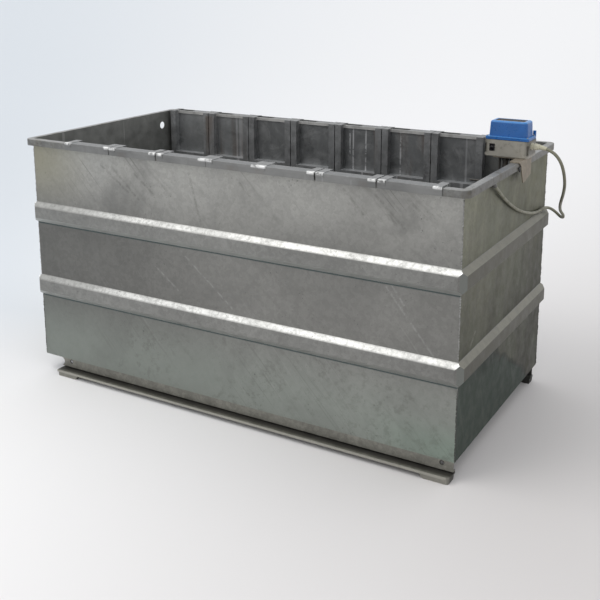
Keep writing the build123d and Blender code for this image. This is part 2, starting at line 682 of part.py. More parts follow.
# ---------------------------------------------------------------- write the parts
def main():
    for side in SIDES:
        panel = wall(side)
        if side == "left_end":
            panel -= overflow_hole()
        if side == "right_end":
            hole = (LENGTH / 2 - 6, ELBOW[1], ELBOW[2])
            panel -= rod(hole, (LENGTH / 2 + 6, ELBOW[1], ELBOW[2]), 6.2)
        save(panel, f"{side}_wall")
        edge = rim(side)
        if side == "back":
            for i in range(FRAMES_PER_SIDE):
                edge -= hand_slot(BACK_ROW_START + i * FRAME_PITCH, HAND_SLOT_WIDTH)
        save(edge, f"rim_{side}")
        for level, base in RIB_BASES.items():
            save(rib(side, base), f"{level}_rib_{side}")
    inner = (LENGTH / 2 - SHEET, WIDTH / 2 - SHEET)
    floor_z = (WALL_BOTTOM, WALL_BOTTOM + FLOOR_SHEET)
    save(block((-inner[0], inner[0]), (-inner[1], inner[1]), floor_z), "floor_pan")
    save(corner_welds(), "corner_welds")

    front_web = -WIDTH / 2
    back_web = front_web + BACK_RAIL_INSET
    save(base_rail(front_web), "front_base_rail")
    save(mirror(base_rail(back_web), about=Plane.XZ), "back_base_rail")
    back_pads = [mirror(pad, about=Plane.XZ) for pad in rail_pads(back_web)]
    save(Compound(rail_pads(front_web) + back_pads), "foot_pads")
    bearers = floor_bearers(front_web + RAIL_TOP_FLANGE, -back_web - RAIL_TOP_FLANGE)
    save(bearers, "floor_bearers")

    for i in range(FRAMES_PER_SIDE):
        place = FRONT_ROW_START + i * FRAME_PITCH + FRONT_SHIFTS[i]
        front = hook_frame(place, FRONT_HOOK_GAPS[i], False)
        save(front, f"front_frame_{i + 1}")
        back = hook_frame(BACK_ROW_START + i * FRAME_PITCH, BACK_HOOK_GAP, True)
        save(mirror(back, about=Plane.XZ), f"back_frame_{i + 1}")

    for build in (
        box_base,
        box_lid,
        lid_screws,
        lid_window,
        lid_gasket,
        switch_body,
        rocker,
        circuit_board,
        transformer,
        power_relay,
        terminal_block,
        rim_bracket,
        clamp_screws,
        heater_tubes,
        thermostat_probe,
        gland_body,
        gland_nut,
        strain_relief,
        supply_lead,
        wall_elbow,
        elbow_nut,
        level_probe,
    ):
        save(build(), build.__name__)


main()
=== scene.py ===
import json
import math
import random

import bmesh
import bpy
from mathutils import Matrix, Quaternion, Vector


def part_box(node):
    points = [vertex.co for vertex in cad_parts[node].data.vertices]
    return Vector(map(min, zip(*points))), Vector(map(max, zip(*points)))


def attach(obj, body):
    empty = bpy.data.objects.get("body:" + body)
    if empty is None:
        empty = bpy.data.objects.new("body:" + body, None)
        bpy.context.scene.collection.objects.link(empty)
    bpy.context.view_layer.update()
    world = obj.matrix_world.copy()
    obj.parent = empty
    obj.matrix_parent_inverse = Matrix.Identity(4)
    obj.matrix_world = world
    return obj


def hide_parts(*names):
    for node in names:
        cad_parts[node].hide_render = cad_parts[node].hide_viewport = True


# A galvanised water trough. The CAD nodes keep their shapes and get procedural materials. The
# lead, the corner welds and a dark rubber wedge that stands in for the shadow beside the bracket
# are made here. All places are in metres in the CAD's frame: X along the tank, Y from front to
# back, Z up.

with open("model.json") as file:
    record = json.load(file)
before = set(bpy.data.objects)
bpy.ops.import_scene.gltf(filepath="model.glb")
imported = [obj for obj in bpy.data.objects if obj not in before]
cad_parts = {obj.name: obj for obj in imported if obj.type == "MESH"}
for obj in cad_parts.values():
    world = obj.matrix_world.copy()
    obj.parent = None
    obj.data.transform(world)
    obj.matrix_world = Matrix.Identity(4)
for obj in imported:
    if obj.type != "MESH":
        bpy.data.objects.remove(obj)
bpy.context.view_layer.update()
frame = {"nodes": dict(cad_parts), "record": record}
nodes = frame["nodes"]
TANK = "tank"
FRAMES = [f"{row}_frame_{i + 1}" for row in ("front", "back") for i in range(7)]

# ---------------------------------------------------------------- camera
CAMERA_PLACE = (1.6491, -2.7326, 1.4374)
CAMERA_YAW = -30.25
CAMERA_PITCH = -12.55
CAMERA_ROLL = -0.15
CAMERA_LENS = 56.1
CAMERA_SHIFT = -0.2


def make_camera():
    """The photograph's viewpoint, fitted to the tank's corners, rim and ribs."""
    data = bpy.data.cameras.new("camera")
    data.lens = CAMERA_LENS
    data.shift_y = CAMERA_SHIFT
    camera = bpy.data.objects.new("camera", data)
    camera.location = CAMERA_PLACE
    yaw = math.radians(CAMERA_YAW)
    pitch = math.radians(CAMERA_PITCH)
    level = math.cos(pitch)
    look = Vector((math.sin(yaw) * level, math.cos(yaw) * level, math.sin(pitch)))
    camera.rotation_mode = "QUATERNION"
    roll = Quaternion((0, 0, 1), math.radians(CAMERA_ROLL))
    camera.rotation_quaternion = look.to_track_quat("-Z", "Y") @ roll
    bpy.context.scene.collection.objects.link(camera)
    bpy.context.scene.camera = camera


# ---------------------------------------------------------------- material building
class Shader:
    """One material under construction: each method adds a node and returns its output."""

    def __init__(self, name):
        self.material = bpy.data.materials.new(name)
        self.material.use_nodes = True
        self.tree = self.material.node_tree
        self.tree.nodes.clear()
        coordinates = self.tree.nodes.new("ShaderNodeTexCoord")
        self.place = coordinates.outputs["Object"]
        self.normal = self.tree.nodes.new("ShaderNodeNewGeometry").outputs["Normal"]

    def node(self, kind, feeds, **settings):
        """A node with its settings; feeds are links or plain values by input."""
        made = self.tree.nodes.new(kind)
        for key, value in settings.items():
            setattr(made, key, value)
        for key, value in feeds.items():
            if isinstance(value, bpy.types.NodeSocket):
                self.tree.links.new(value, made.inputs[key])
            else:
                made.inputs[key].default_value = value
        return made

    def moved(self, scale, turn=(0, 0, 0)):
        """The place turned by angles in degrees and then stretched."""
        turned = self.node(
            "ShaderNodeMapping",
            {"Vector": self.place, "Rotation": [math.radians(a) for a in turn]},
        )
        return self.node(
            "ShaderNodeMapping", {"Vector": turned.outputs[0], "Scale": scale}
        ).outputs[0]

    def noise(self, scale, detail=3.0, rough=0.5, vector=None, twist=0.0):
        feeds = {
            "Vector": vector or self.place,
            "Scale": scale,
            "Detail": detail,
            "Roughness": rough,
            "Distortion": twist,
        }
        return self.node("ShaderNodeTexNoise", feeds).outputs["Fac"]

    def cells(self, scale, output="Color"):
        feeds = {"Vector": self.place, "Scale": scale}
        return self.node("ShaderNodeTexVoronoi", feeds).outputs[output]

    def level(self, value, low, high, to_low=0.0, to_high=1.0):
        """value from low..high turned smoothly into to_low..to_high, held at the ends."""
        feeds = {
            "Value": value,
            "From Min": low,
            "From Max": high,
            "To Min": to_low,
            "To Max": to_high,
        }
        made = self.node("ShaderNodeMapRange", feeds, interpolation_type="SMOOTHSTEP")
        return made.outputs[0]

    def math(self, operation, a, b=0.0):
        return self.node("ShaderNodeMath", {0: a, 1: b}, operation=operation).outputs[0]

    def product(self, *values):
        """All the values multiplied."""
        result = values[0]
        for value in values[1:]:
            result = self.math("MULTIPLY", result, value)
        return result

    def axis(self, letter, vector=None):
        split = self.node("ShaderNodeSeparateXYZ", {0: vector or self.place})
        return split.outputs[letter]

    def mix(self, factor, a, b, mode="MIX"):
        a, b = (c if isinstance(c, bpy.types.NodeSocket) else (*c, 1.0) for c in (a, b))
        made = self.node(
            "ShaderNodeMix", {0: factor, 6: a, 7: b}, data_type="RGBA", blend_type=mode
        )
        return made.outputs[2]

    def shade(self, colour, value):
        """A colour made lighter or darker by a value around 1."""
        grey = self.node("ShaderNodeCombineColor", {0: value, 1: value, 2: value}).outputs[0]
        return self.mix(1.0, colour, grey, "MULTIPLY")

    def bump(self, height, distance, strength=1.0, under=None):
        feeds = {"Height": height, "Distance": distance, "Strength": strength}
        if under:
            feeds["Normal"] = under
        return self.node("ShaderNodeBump", feeds).outputs[0]

    def surface(self, colour, **sockets):
        """The finished material. Socket names use _ for a space."""
        feeds = {key.replace("_", " "): value for key, value in sockets.items()}
        if not isinstance(colour, bpy.types.NodeSocket):
            colour = (*colour, 1.0)
        feeds["Base Color"] = colour
        shader = self.node("ShaderNodeBsdfPrincipled", feeds)
        output = self.tree.nodes.new("ShaderNodeOutputMaterial")
        self.tree.links.new(shader.outputs[0], output.inputs[0])
        return self.material


# ---------------------------------------------------------------- zinc
# The walls' outer faces, the ribs' lower edges and the height of the painted highlight above them
WALL_X = 0.8
WALL_Y = 0.4
RIB_FOOTS = (0.293, 0.565)
RIB_SHINE = 0.067

# Heights between which the dirt of the lowest band and the end walls' painted dark reflection
# fade out
LOW_BAND_TOP = (0.28, 0.30)
DARK_REFLECTION_TOP = (0.285, 0.30)

# Crystals per metre, and the zinc's own linear colour on each kind of sheet
SPANGLE = 85.0
FRONT_TINT = (0.245, 0.243, 0.230)
END_TINT = (0.146, 0.147, 0.112)
RIB_TINT = (0.215, 0.215, 0.205)
RIM_TINT = (0.175, 0.175, 0.168)
FRAME_TINT = (0.225, 0.228, 0.230)
RAIL_TINT = (0.215, 0.210, 0.186)


def zinc_body(shader, tint, contrast=1.0):
    """The colour of hot-dip zinc: soft clouds, a finer mottle and spangle crystals."""
    clouds = shader.noise(3.0, 4.0, 0.55, twist=0.6)
    mottle = shader.noise(26.0, 5.0, 0.65)
    fine = shader.noise(160.0, 3.0, 0.6)
    crystal = shader.axis("X", shader.cells(SPANGLE))
    value = shader.level(clouds, 0.3, 0.7, 1 - 0.10 * contrast, 1 + 0.10 * contrast)
    for part, share in ((mottle, 0.13), (fine, 0.07), (crystal, 0.06)):
        swing = share * contrast
        value = shader.math("MULTIPLY", value, shader.level(part, 0.2, 0.8, 1 - swing, 1 + swing))
    colour = shader.shade(tint, value)
    return colour, crystal, mottle, fine


def zinc_normal(shader, crystal, mottle, fine, depth=1.0):
    """Uneven zinc: broad lumps, mottle and a fine grain."""
    lumps = shader.noise(9.0, 2.0, 0.5)
    normal = shader.bump(lumps, 0.0035 * depth, 0.6)
    normal = shader.bump(mottle, 0.0009 * depth, 0.6, normal)
    normal = shader.bump(fine, 0.00022 * depth, 0.5, normal)
    return shader.bump(crystal, 0.00006 * depth, 0.5, normal)


def scratches(shader, turn, width, patch_scale, low, high):
    """A mask of long, thin marks that lie along X after the turn, in patches."""
    along = shader.moved((1.6, 1.0, width), turn)
    marks = shader.level(shader.noise(1.0, 3.0, 0.6, along), low, high)
    patches = shader.level(shader.noise(patch_scale, 2.0, 0.5), 0.42, 0.62)
    return shader.product(marks, patches)


def stroke(shader, vector, start, end, width):
    """A mask of one straight mark between two points of the XZ plane, soft over its width."""
    start = Vector((start[0], 0, start[1]))
    end = Vector((end[0], 0, end[1]))
    run = end - start
    kind = "ShaderNodeVectorMath"
    flat = shader.node(kind, {0: vector, 1: (1, 0, 1)}, operation="MULTIPLY")
    away = shader.node(kind, {0: flat.outputs[0], 1: start}, operation="SUBTRACT")
    feeds = {0: away.outputs[0], 1: run / run.length_squared}
    reach = shader.node(kind, feeds, operation="DOT_PRODUCT")
    share = shader.node("ShaderNodeClamp", {"Value": reach.outputs["Value"]}).outputs[0]
    foot = shader.node(kind, {0: run, "Scale": share}, operation="SCALE")
    gap = shader.node(kind, {0: away.outputs[0], 1: foot.outputs[0]}, operation="DISTANCE")
    return shader.level(gap.outputs["Value"], 0.15 * width, width, 1.0, 0.0)


def strokes(shader, vector, marks, width):
    """All the marks of a list, broken up by a noise."""
    total = None
    for start, end in marks:
        one = stroke(shader, vector, start, end, width)
        total = one if total is None else shader.math("MAXIMUM", total, one)
    broken_up = shader.level(shader.noise(55.0, 3.0, 0.7), 0.36, 0.60)
    return shader.product(total, broken_up)


def outer_side(shader, letter, face):
    """1 on the outside of the walls across an axis and 0 on their inside."""
    depth = shader.math("ABSOLUTE", shader.axis(letter))
    return shader.level(depth, face - 0.0015, face - 0.0005)


def pits(shader, scale, low=0.66, high=0.72):
    """Small dark specks in loose patches."""
    specks = shader.level(shader.noise(scale, 2.0, 0.5), low, high)
    patches = shader.level(shader.noise(5.0, 3.0, 0.6), 0.48, 0.62)
    return shader.product(specks, patches)


# Single marks seen in the photograph, by their ends: (X, Z) on the long walls, (Y, Z) on the end
DARK_STROKES = [
    ((0.435, 0.826), (0.50, 0.756)),
    ((0.536, 0.820), (0.626, 0.735)),
    ((0.56, 0.800), (0.60, 0.742)),
    ((0.638, 0.818), (0.694, 0.770)),
    ((-0.121, 0.811), (-0.079, 0.652)),
    ((-0.344, 0.787), (-0.265, 0.725)),
    ((-0.489, 0.803), (-0.375, 0.722)),
    ((-0.44, 0.80), (-0.33, 0.70)),
    ((0.064, 0.811), (0.111, 0.766)),
]
LIGHT_STROKES = [
    ((-0.162, 0.549), (0.036, 0.389)),
    ((-0.270, 0.481), (-0.179, 0.412)),
    ((0.575, 0.553), (0.724, 0.372)),
    ((0.589, 0.564), (0.631, 0.508)),
]
END_STROKES = [
    ((-0.268, 0.415), (-0.304, 0.382)),
    ((-0.259, 0.327), (-0.300, 0.293)),
]
# White runs down the back frames, from the hooks to the heights given
DRIP_TOP = 0.862
DRIP_FOOTS = ((0.048, 0.76), (0.062, 0.70), (0.115, 0.69), (0.258, 0.67))
DRIPS = [((x, DRIP_TOP), (x, foot)) for x, foot in DRIP_FOOTS]


def long_wall_zinc():
    """The long walls: a painted reflection lighter near the rim, greenish low down, with slanting
    scratches.
    """
    s = Shader("zinc_long_wall")
    colour, crystal, mottle, fine = zinc_body(s, FRONT_TINT, 0.75)
    height = s.axis("Z")
    along = s.axis("X")

    # painted reflection and shade: bright over the upper rib, lighter low right, shaded low left;
    # greenish below, darker at the upper right, warm at the left
    top = s.level(height, 0.60, 0.80)
    left = s.level(along, -0.80, 0.35, 1.0, 0.0)
    colour = s.shade(colour, s.level(height, 0.58, 0.84, 0.80, 1.30))
    shaded = s.product(left, s.level(height, 0.56, 0.62, 1.0, 0.0))
    colour = s.shade(colour, s.level(shaded, 0.0, 1.0, 1.08, 0.74))
    green = s.level(height, 0.10, 0.38, 1.0, 0.0)
    colour = s.mix(s.product(green, 0.70), colour, (0.262, 0.290, 0.262))
    mint = s.product(s.level(along, 0.45, 0.78), s.level(height, 0.09, 0.20, 1.0, 0.0))
    colour = s.mix(s.product(mint, 0.6), colour, (0.225, 0.295, 0.245))
    low_right = s.product(s.level(along, -0.3, 0.8), s.level(height, 0.25, 0.34, 1.0, 0.0))
    colour = s.shade(colour, s.level(low_right, 0.0, 1.0, 1.0, 1.14))
    top_right = s.product(s.level(along, 0.25, 0.50), s.level(along, 0.60, 0.78, 1.0, 0.0), top)
    colour = s.shade(colour, s.level(top_right, 0.0, 1.0, 1.0, 0.90))
    warm = s.product(top, s.level(along, -0.80, -0.50, 0.75, 0.0))
    colour = s.mix(warm, colour, (0.275, 0.262, 0.190))
    cloud = s.level(s.noise(3.6, 4.0, 0.6, twist=0.8), 0.50, 0.68)
    cloud = s.product(cloud, s.level(height, 0.50, 0.64, 0.17, 0.42))
    colour = s.mix(cloud, colour, (0.125, 0.125, 0.120))

    # scratches, flecks, soil and pits
    fine_dark = scratches(s, (0, -47, 0), 150.0, 3.4, 0.60, 0.72)
    worn_low = s.level(height, *LOW_BAND_TOP, 0.45, 0.0)
    reach = s.math("MAXIMUM", top, worn_low)
    colour = s.mix(s.product(fine_dark, reach, 0.62), colour, (0.085, 0.083, 0.075))
    flecks = s.level(s.noise(210.0, 2.0, 0.5), 0.66, 0.73)
    flecks = s.product(flecks, s.level(s.noise(6.0, 3.0, 0.6), 0.40, 0.62))
    colour = s.mix(s.product(flecks, 0.5), colour, (0.055, 0.060, 0.055))
    soil_and_shade = s.level(s.noise(34.0, 5.0, 0.75), 0.50, 0.64)
    soil_and_shade = s.product(soil_and_shade, s.level(s.noise(4.5, 3.0, 0.6), 0.36, 0.60))
    soil_and_shade = s.product(soil_and_shade, s.level(height, *LOW_BAND_TOP, 0.28, 0.08))
    colour = s.mix(soil_and_shade, colour, (0.095, 0.092, 0.082))
    soft_dark = scratches(s, (0, -40, 0), 34.0, 2.6, 0.56, 0.74)
    colour = s.mix(s.product(soft_dark, 0.22), colour, (0.13, 0.13, 0.12))
    fine_light = scratches(s, (0, -50, 0), 120.0, 2.2, 0.62, 0.74)
    colour = s.mix(s.product(fine_light, 0.14), colour, (0.50, 0.50, 0.48))
    dark = strokes(s, s.place, DARK_STROKES, 0.007)
    colour = s.mix(s.product(dark, 0.30), colour, (0.07, 0.07, 0.06))
    pale = strokes(s, s.place, LIGHT_STROKES, 0.005)
    colour = s.mix(s.product(pale, 0.21), colour, (0.50, 0.50, 0.49))
    colour = s.mix(s.product(pits(s, 150.0), 0.65), colour, (0.045, 0.050, 0.045))
    colour = s.mix(s.product(pits(s, 70.0, 0.68, 0.74), 0.5), colour, (0.06, 0.065, 0.06))

    # painted shade in the strip under the rim and in the creases under the ribs, and the duller
    # inside
    outer = outer_side(s, "Y", WALL_Y)
    under_rim = s.level(height, 0.838, 0.850, 0.0, 0.35)
    colour = s.mix(s.product(under_rim, outer), colour, (0.10, 0.10, 0.09))
    # painted shade along the crease under each rib
    for base in RIB_FOOTS:
        line = s.math("ABSOLUTE", s.math("SUBTRACT", height, base - 0.0015))
        near = s.product(s.level(line, 0.001, 0.0045, 0.80, 0.0), outer)
        colour = s.mix(near, colour, (0.035, 0.060, 0.062))
    inside = s.level(outer, 0.0, 1.0, 0.60, 0.0)
    colour = s.mix(inside, colour, (0.10, 0.105, 0.105))

    rough = s.level(mottle, 0.25, 0.75, 0.42, 0.60)
    normal = zinc_normal(s, crystal, mottle, fine, 0.65)
    return s.surface(colour, Metallic=0.78, Roughness=rough, Normal=normal)


# The painted dark reflection's edge: its height at the middle of the end wall, and how it falls
# towards the back
DARK_REFLECTION_EDGE = 0.237
DARK_REFLECTION_SLOPE = 0.56


def end_wall_zinc():
    """The end walls: duller and browner, with upright runs and a painted dark greenish reflection
    low down.
    """
    s = Shader("zinc_end_wall")
    colour, crystal, mottle, fine = zinc_body(s, END_TINT)
    height = s.axis("Z")
    across = s.axis("Y")
    outer = outer_side(s, "X", WALL_X)

    # painted reflection, lighter towards the rim; lighter towards the front, with upright runs
    colour = s.shade(colour, s.level(height, 0.28, 0.86, 0.50, 1.30))
    colour = s.shade(colour, s.level(across, -0.38, 0.35, 1.22, 0.68))
    olive = s.product(s.level(across, -0.1, 0.4), s.level(height, 0.5, 0.8))
    colour = s.mix(s.product(olive, 0.7), colour, (0.158, 0.155, 0.095))
    runs = s.noise(1.0, 4.0, 0.65, s.moved((26, 26, 0.8)))
    colour = s.shade(colour, s.level(runs, 0.3, 0.7, 0.91, 1.09))
    leaning = s.noise(1.0, 3.0, 0.6, s.moved((9, 9, 1.6), (18, 0, 0)))
    colour = s.shade(colour, s.level(leaning, 0.35, 0.68, 0.90, 1.14))
    verdure = s.level(s.noise(5.0, 3.0, 0.6), 0.42, 0.64, 0.0, 0.45)
    colour = s.mix(verdure, colour, (0.120, 0.130, 0.096))

    # painted dark greenish reflection over the foot, with a ragged, darker edge and darker under
    # the rib, mostly on the right end wall
    ragged = s.level(s.noise(7.0, 4.0, 0.6), 0.3, 0.7, -0.030, 0.030)
    edge = s.math("ADD", s.math("ADD", height, s.product(across, DARK_REFLECTION_SLOPE)), ragged)
    below_rib = s.level(height, *DARK_REFLECTION_TOP, 1.0, 0.0)
    low = s.product(s.level(edge, 0.225, 0.240, 1.0, 0.0), below_rib)
    low = s.product(low, s.level(s.axis("X"), -0.1, 0.1, 0.35, 1.0))
    colour = s.mix(s.product(low, 0.92), colour, (0.030, 0.043, 0.035))
    off_edge = s.math("ABSOLUTE", s.math("SUBTRACT", edge, DARK_REFLECTION_EDGE))
    rimmed = s.level(off_edge, 0.004, 0.018, 0.65, 0.0)
    under_rib = s.level(height, 0.225, 0.290, 0.0, 0.7)
    under_rib = s.product(under_rib, s.level(across, -0.36, -0.10), low)
    rimmed = s.product(s.math("MAXIMUM", rimmed, under_rib), below_rib)
    rimmed = s.product(rimmed, s.level(s.axis("X"), -0.1, 0.1, 0.3, 1.0))
    colour = s.mix(rimmed, colour, (0.014, 0.017, 0.014))

    # knocks, scratches and pits, and the lighter inside with its white runs
    upright = s.node("ShaderNodeCombineXYZ", {0: across, 2: height}).outputs[0]
    knocks = strokes(s, upright, END_STROKES, 0.008)
    colour = s.mix(s.product(knocks, 0.5), colour, (0.33, 0.32, 0.29))
    light = scratches(s, (70, 0, 0), 80.0, 2.0, 0.60, 0.72)
    colour = s.mix(s.product(light, 0.10), colour, (0.30, 0.30, 0.27))
    colour = s.mix(s.product(pits(s, 130.0), 0.5), colour, (0.03, 0.03, 0.025))
    drips = s.noise(1.0, 2.0, 0.5, s.moved((30, 30, 1.5)))
    white = s.product(s.level(drips, 0.66, 0.72), s.level(height, 0.60, 0.80))
    inside = s.mix(s.product(white, 0.6), (0.250, 0.252, 0.240), (0.48, 0.48, 0.46))
    inside = s.shade(inside, s.level(mottle, 0.25, 0.75, 0.85, 1.15))
    colour = s.mix(outer, inside, colour)

    rough = s.level(mottle, 0.25, 0.75, 0.40, 0.58)
    normal = zinc_normal(s, crystal, mottle, fine)
    # the painted dark reflection is also made less metallic
    soil_and_shade = s.math("MAXIMUM", s.product(low, outer), s.product(rimmed, outer))
    metal = s.level(soil_and_shade, 0.0, 1.0, 0.74, 0.12)
    return s.surface(
        colour, Metallic=metal, Roughness=rough, Specular_IOR_Level=0.16, Normal=normal
    )


def rib_zinc():
    """The ribs: painted highlights on the upper slopes; the faces and the end ribs are duller."""
    s = Shader("zinc_rib")
    colour, crystal, mottle, fine = zinc_body(s, RIB_TINT, 0.9)
    # painted highlight on the upper slopes, brighter towards the right and along the top bends
    up = s.level(s.axis("Z", s.normal), 0.35, 0.66)
    facing = s.math("ABSOLUTE", s.axis("Y", s.normal))
    slope = s.product(up, s.level(facing, 0.30, 0.55))
    along = s.level(s.axis("X"), -0.80, -0.20, 0.35, 1.0)
    speckle = s.level(s.noise(85.0, 4.0, 0.75), 0.34, 0.60, 0.50, 1.0)
    blotch = s.level(s.noise(7.0, 3.0, 0.6, s.moved((1, 1, 3))), 0.36, 0.62, 0.72, 1.0)
    height = s.axis("Z")
    band = None
    for foot in RIB_FOOTS:
        line = s.math("ABSOLUTE", s.math("SUBTRACT", height, foot + RIB_SHINE))
        near = s.level(line, 0.0035, 0.0095, 1.0, 0.25)
        band = near if band is None else s.math("MAXIMUM", band, near)
    shine = s.product(slope, speckle, along, blotch, band)
    colour = s.mix(shine, colour, (0.76, 0.76, 0.74))
    # painted light: the end ribs' upward slopes lighter than their faces
    end = s.level(s.math("ABSOLUTE", s.axis("X")), WALL_X + 0.0005, WALL_X + 0.0015)
    end_colour = s.mix(up, (0.100, 0.098, 0.080), (0.205, 0.198, 0.168))
    end_colour = s.shade(end_colour, s.level(mottle, 0.25, 0.75, 0.80, 1.20))
    aside = s.level(facing, 0.25, 0.45, 1.0, 0.0)
    colour = s.mix(s.product(end, aside), colour, end_colour)
    # painted glints on the upward parts of the corner facets
    corner = s.product(end, s.level(facing, 0.45, 0.6))
    sparkle = s.level(s.noise(160.0, 3.0, 0.7), 0.42, 0.60)
    tip = s.mix(s.product(up, sparkle), (0.190, 0.200, 0.188), (0.95, 0.95, 0.94))
    colour = s.mix(corner, colour, tip)
    colour = s.mix(s.product(pits(s, 120.0), 0.6), colour, (0.06, 0.06, 0.055))
    # painted reflection: the downward slopes made lighter
    under = s.level(s.axis("Z", s.normal), -0.3, -0.6, 0.0, 0.85)
    colour = s.mix(s.product(under, s.level(facing, 0.3, 0.5)), colour, (0.40, 0.41, 0.395))
    rough = s.level(mottle, 0.25, 0.75, 0.36, 0.54)
    normal = zinc_normal(s, crystal, mottle, fine, 1.7)
    return s.surface(colour, Metallic=0.76, Roughness=rough, Normal=normal)


def rim_zinc():
    """The rim: a painted highlight on its top and fold, darker on the lip, with brown and dark
    stains.
    """
    s = Shader("zinc_rim")
    colour, crystal, mottle, fine = zinc_body(s, RIM_TINT, 1.3)
    # painted highlight on the faces that look up
    up = s.level(s.axis("Z", s.normal), 0.3, 0.9)
    colour = s.mix(s.product(up, 0.60), colour, (0.33, 0.33, 0.325))
    stain = s.level(s.noise(16.0, 4.0, 0.6), 0.50, 0.68, 0.0, 0.55)
    colour = s.mix(stain, colour, (0.12, 0.108, 0.080))
    flecks = s.level(s.noise(60.0, 4.0, 0.7), 0.60, 0.68, 0.0, 0.6)
    colour = s.mix(flecks, colour, (0.06, 0.06, 0.055))
    chips = s.level(s.noise(75.0, 3.0, 0.6, twist=0.5), 0.64, 0.70, 0.0, 0.6)
    colour = s.mix(s.product(chips, up), colour, (0.62, 0.62, 0.60))
    rough = s.level(mottle, 0.25, 0.75, 0.36, 0.55)
    normal = zinc_normal(s, crystal, mottle, fine, 1.2)
    return s.surface(colour, Metallic=0.76, Roughness=rough, Normal=normal)


# The frames' parts by depth from the middle, the front lip's Y, the hooks' height, a strap
STILE_INNER = 0.363
TOP_RAIL = 0.386
PANEL_FACE = 0.388
HOOK_LIP = 0.4185
OUTER_LIP = -0.4145
HOOK_LEVEL = 0.858
STRAP_WIDTH = 0.025


def frame_zinc():
    """The hook-on frames: dark in the tank, painted shade and highlights, white runs, brown
    stiles.
    """
    s = Shader("zinc_frame")
    colour, crystal, mottle, fine = zinc_body(s, FRAME_TINT, 1.3)
    depth = s.math("ABSOLUTE", s.axis("Y"))
    height = s.axis("Z")

    # inside the tank: painted shade in the recessed panels, painted light on the proud stile
    # faces and the upward ledges, white runs and rust
    panel = s.level(depth, PANEL_FACE, PANEL_FACE + 0.003)
    below = s.level(height, HOOK_LEVEL, HOOK_LEVEL + 0.006, 1.0, 0.0)
    colour = s.mix(s.product(panel, below, 0.75), colour, (0.150, 0.155, 0.157))
    first = s.product(s.level(s.axis("X"), -0.45, -0.55), below)
    colour = s.shade(colour, s.level(first, 0.0, 1.0, 1.0, 1.45))
    # painted light on the stiles' proud faces
    proud = s.level(depth, STILE_INNER + 0.0005, STILE_INNER + 0.003, 1.0, 0.0)
    proud = s.product(proud, below)
    colour = s.mix(s.product(proud, 0.45), colour, (0.205, 0.208, 0.212))
    cloud = s.level(s.noise(10.0, 5.0, 0.7, twist=1.2), 0.47, 0.68)
    colour = s.mix(s.product(cloud, below, 0.42), colour, (0.34, 0.34, 0.34))
    drips = strokes(s, s.place, DRIPS, 0.0045)
    drips = s.product(drips, s.level(s.axis("Y"), 0.0, 0.1), below)
    colour = s.mix(s.product(drips, 0.80), colour, (0.62, 0.62, 0.63))
    smudge = s.level(s.noise(24.0, 4.0, 0.7), 0.55, 0.70)
    colour = s.mix(s.product(smudge, below, 0.35), colour, (0.055, 0.055, 0.055))
    runs = s.noise(1.0, 2.0, 0.5, s.moved((40, 40, 0.5)))
    where = s.level(s.noise(1.0, 1.0, 0.5, s.moved((2.6, 0.4, 0.2))), 0.50, 0.60)
    white = s.product(s.level(runs, 0.62, 0.69), where, below)
    colour = s.mix(s.product(white, 0.62), colour, (0.52, 0.52, 0.53))
    rust = s.level(s.noise(1.0, 4.0, 0.6, s.moved((9, 9, 1.0))), 0.56, 0.70, 0.0, 0.6)
    colour = s.mix(s.product(rust, below), colour, (0.135, 0.098, 0.075))
    # painted light on the upward ledges
    ledge = s.product(s.level(s.axis("Z", s.normal), 0.4, 0.8), below)
    colour = s.mix(s.product(ledge, 0.70), colour, (0.52, 0.53, 0.54))

    # the hooks over the rim: a painted highlight along the fold, a duller lip and top
    off_rail = s.math("ABSOLUTE", s.math("SUBTRACT", depth, TOP_RAIL))
    fold = s.level(off_rail, 0.0022, 0.0030, 0.75, 0.0)
    fold = s.product(fold, s.level(height, HOOK_LEVEL - 0.001, HOOK_LEVEL))
    fold = s.product(fold, s.level(mottle, 0.3, 0.6, 0.6, 1.0))
    colour = s.mix(fold, colour, (0.62, 0.61, 0.59))
    aside = s.level(s.axis("Z", s.normal), 0.6, 0.3)
    lip = s.product(s.level(depth, HOOK_LIP, HOOK_LIP + 0.0015), aside)
    patch = s.level(s.noise(5.0, 3.0, 0.6), 0.36, 0.62, 0.86, 1.20)
    colour = s.mix(s.product(lip, 0.7), colour, s.shade((0.180, 0.180, 0.174), patch))
    level_top = s.level(s.axis("Z", s.normal), 0.5, 0.8)
    hook_top = s.product(s.level(height, HOOK_LEVEL, HOOK_LEVEL + 0.006), level_top)
    colour = s.mix(s.product(hook_top, 0.5), colour, (0.165, 0.168, 0.168))
    # painted highlight on the straps' tops
    strap_end = s.level(height, HOOK_LEVEL + 0.0125, HOOK_LEVEL + 0.0135)
    colour = s.mix(s.product(strap_end, 0.60), colour, (0.25, 0.25, 0.25))

    # painted highlights on the front straps' bends, at both sides of every frame
    outer_front = s.level(s.axis("Y"), OUTER_LIP, OUTER_LIP - 0.0025)
    broken_up = s.level(s.noise(45.0, 3.0, 0.6), 0.34, 0.56)
    low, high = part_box("front_frame_1")
    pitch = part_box("front_frame_2")[0][0] - low[0]
    middle = (high[0] - low[0]) / 2
    share = s.math("FRACT", s.math("DIVIDE", s.math("SUBTRACT", s.axis("X"), low[0]), pitch))
    off_middle = s.math("ABSOLUTE", s.math("SUBTRACT", share, middle / pitch))
    inner_edge = middle - STRAP_WIDTH
    strap = s.level(off_middle, (inner_edge - 0.001) / pitch, inner_edge / pitch)
    strap_bend = s.product(strap, s.level(height, HOOK_LEVEL + 0.004, HOOK_LEVEL + 0.009))
    bright = s.math("MAXIMUM", strap_end, strap_bend)
    colour = s.mix(s.product(bright, outer_front, broken_up), colour, (0.72, 0.72, 0.71))

    rough = s.level(mottle, 0.25, 0.75, 0.40, 0.58)
    normal = zinc_normal(s, crystal, mottle, fine)
    return s.surface(colour, Metallic=0.72, Roughness=rough, Normal=normal)


